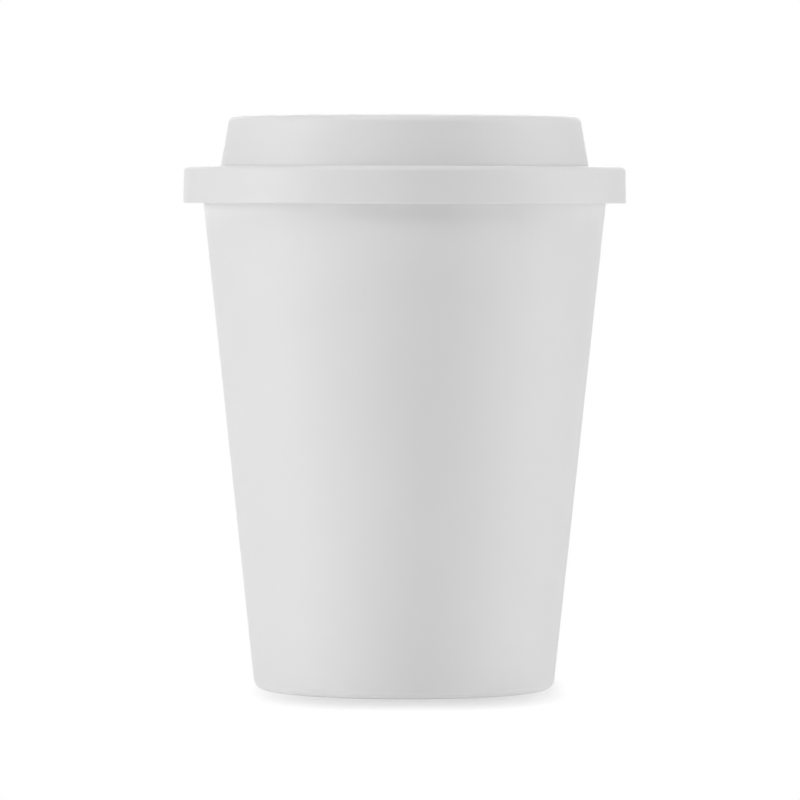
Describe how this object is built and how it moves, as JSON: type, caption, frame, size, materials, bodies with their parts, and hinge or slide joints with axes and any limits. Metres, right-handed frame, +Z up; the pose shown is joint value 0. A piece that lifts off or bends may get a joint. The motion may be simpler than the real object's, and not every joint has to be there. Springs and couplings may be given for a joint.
{
  "type": "double-walled plastic cup with lid",
  "caption": "Tapered double-walled plastic travel cup with an air space between its walls and a push-on sipping lid that lifts off.",
  "frame": {"origin": "centre of the foot ring on the table", "axes": "+Z up along the cup's axis; the lid's sipping slot is towards -Y and its air vent towards +Y"},
  "size_m": [0.09, 0.09, 0.1166],
  "materials": {
    "white_plastic": "satin white polypropylene"
  },
  "bodies": {
    "cup": {"outer_cup": "white_plastic", "inner_cup": "white_plastic"},
    "lid": {"lid": "white_plastic"}
  },
  "joints": [
    {"name": "lid_lift", "type": "slide", "parent": "cup", "child": "lid", "axis": [0, 0, 1], "range_m": [0, 0.06]}
  ]
}
